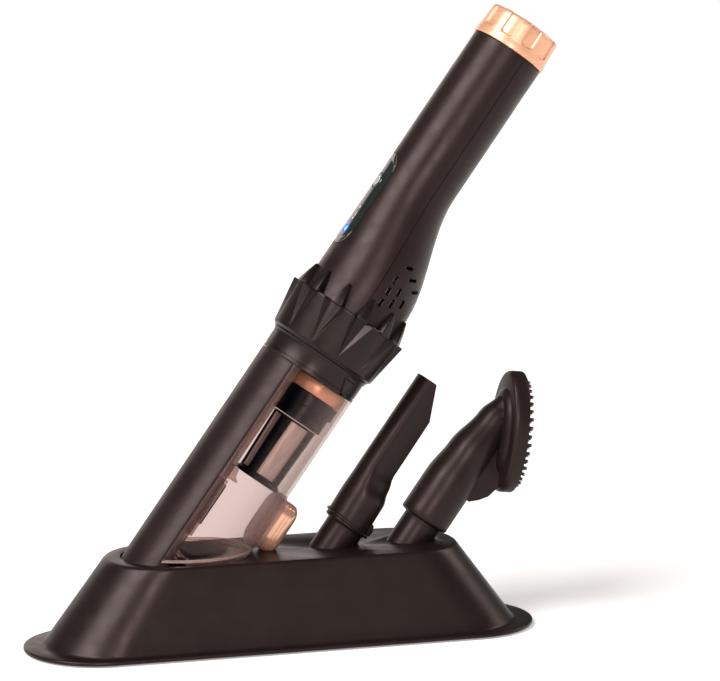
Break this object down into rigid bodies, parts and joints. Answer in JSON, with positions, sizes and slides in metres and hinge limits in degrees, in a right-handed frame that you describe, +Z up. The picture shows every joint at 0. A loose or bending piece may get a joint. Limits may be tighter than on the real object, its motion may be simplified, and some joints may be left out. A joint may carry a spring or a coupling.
{
  "type": "handheld vacuum",
  "caption": "Slim cordless wand vacuum with clear dust cup, crown-edged collar and twist-on metallic cap, leaning in a storage stand beside a crevice nozzle and a dusting brush.",
  "frame": {"origin": "centre of the footprint, on the ground", "axes": "+Z up, the stand's length along X, the vacuum leans towards +X, Y across"},
  "size_m": [0.2978, 0.0814, 0.3426],
  "materials": {
    "satin_dark_plastic": "satin",
    "gloss_panel": "gloss",
    "rose_gold": "metallised rose gold, satin",
    "smoked_clear": "clear with a pink tint",
    "black_rubber": "matte",
    "steel": "brushed",
    "filter_mesh": "fine woven mesh",
    "filter_paper": "pleated paper",
    "cell_wrap": "shrink wrap",
    "circuit_board": "lacquered",
    "blue_led": "lit",
    "bristle": "short nylon tufts"
  },
  "bodies": {
    "dock": {"dock_shell": "satin_dark_plastic", "dock_base_plate": "satin_dark_plastic", "dock_foot_1": "black_rubber", "dock_foot_2": "black_rubber", "dock_foot_3": "black_rubber", "dock_foot_4": "black_rubber", "dock_screw_1": "steel", "dock_screw_2": "steel", "dock_screw_3": "steel", "dock_screw_4": "steel", "nozzle_cradle": "black_rubber", "crevice_socket": "satin_dark_plastic", "brush_socket": "satin_dark_plastic"},
    "cup": {"nozzle_duct": "satin_dark_plastic", "dust_cup": "smoked_clear", "latch_pocket": "smoked_clear", "bin_latch_spring": "steel", "bin_door_pin": "steel", "cup_neck": "satin_dark_plastic", "cup_seal": "black_rubber"},
    "bin_door": {"bin_door": "smoked_clear", "bin_door_seal": "black_rubber"},
    "bin_latch": {"bin_latch": "rose_gold"},
    "catch_left": {"cup_catch_left": "satin_dark_plastic"},
    "catch_right": {"cup_catch_right": "satin_dark_plastic"},
    "filter": {"filter_ring": "rose_gold", "filter_frame": "satin_dark_plastic", "filter_cage": "satin_dark_plastic", "filter_mesh": "filter_mesh", "filter_pleats": "filter_paper"},
    "handle": {"collar_ring": "satin_dark_plastic", "display_shell": "satin_dark_plastic", "vent_shell": "satin_dark_plastic", "intake_grille": "satin_dark_plastic", "fan_shroud": "satin_dark_plastic", "motor_plate": "steel", "motor_can": "steel", "motor_screw_1": "steel", "motor_screw_2": "steel", "motor_screw_3": "steel", "display_panel": "gloss_panel", "status_led": "blue_led", "control_board": "circuit_board", "battery_cell_a": "cell_wrap", "battery_cell_b": "cell_wrap", "battery_holder": "black_rubber", "charge_socket": "steel"},
    "rotor": {"impeller": "steel", "motor_shaft": "steel"},
    "power_button": {"power_button": "gloss_panel"},
    "end_cap": {"end_cap": "rose_gold"},
    "port_cover": {"port_cover": "black_rubber"},
    "crevice_tool": {"crevice_tool": "satin_dark_plastic"},
    "dusting_brush": {"brush_body": "satin_dark_plastic", "brush_bristles": "bristle"}
  },
  "joints": [
    {"name": "vacuum_lift", "type": "slide", "parent": "dock", "child": "cup", "axis": [0.5821, 0, 0.8131], "range_m": [0, 0.1]},
    {"name": "crevice_tool_lift", "type": "slide", "parent": "dock", "child": "crevice_tool", "axis": [0.5821, 0, 0.8131], "range_m": [0, 0.05]},
    {"name": "brush_lift", "type": "slide", "parent": "dock", "child": "dusting_brush", "axis": [0.5821, 0, 0.8131], "range_m": [0, 0.05]},
    {"name": "bin_door_hinge", "type": "hinge", "parent": "cup", "child": "bin_door", "pos_m": [-0.06823, 0, 0.0496], "axis": [0, 1, 0], "range_deg": [0, 80]},
    {"name": "bin_latch_press", "type": "slide", "parent": "cup", "child": "bin_latch", "axis": [-0.8131, 0, 0.5821], "range_m": [0, 0.002], "stiffness_N_per_m": 300, "springref_m": -0.002},
    {"name": "catch_left_press", "type": "slide", "parent": "cup", "child": "catch_left", "axis": [-0.3942, 0.8746, 0.2822], "range_m": [0, 0.0012], "stiffness_N_per_m": 300, "springref_m": -0.001},
    {"name": "catch_right_press", "type": "slide", "parent": "cup", "child": "catch_right", "axis": [-0.3942, -0.8746, 0.2822], "range_m": [0, 0.0012], "stiffness_N_per_m": 300, "springref_m": -0.001},
    {"name": "filter_lift", "type": "slide", "parent": "cup", "child": "filter", "axis": [0.5821, 0, 0.8131], "range_m": [0, 0.08]},
    {"name": "handle_lift", "type": "slide", "parent": "filter", "child": "handle", "axis": [0.5821, 0, 0.8131], "range_m": [0, 0.03]},
    {"name": "rotor_spin", "type": "hinge", "parent": "handle", "child": "rotor", "pos_m": [0.02095, 0, 0.16163], "axis": [0.5821, 0, 0.8131], "continuous": true},
    {"name": "power_button_press", "type": "slide", "parent": "handle", "child": "power_button", "axis": [0.8131, 0, -0.5821], "range_m": [0, 0.0006], "stiffness_N_per_m": 300, "springref_m": -0.0005},
    {"name": "end_cap_twist", "type": "hinge", "parent": "handle", "child": "end_cap", "pos_m": [0.12253, 0, 0.31692], "axis": [0.5821, 0, 0.8131], "range_deg": [0, 30]},
    {"name": "port_cover_hinge", "type": "hinge", "parent": "handle", "child": "port_cover", "pos_m": [0.12223, 0, 0.28109], "axis": [0, 1, 0], "range_deg": [0, 100]}
  ]
}
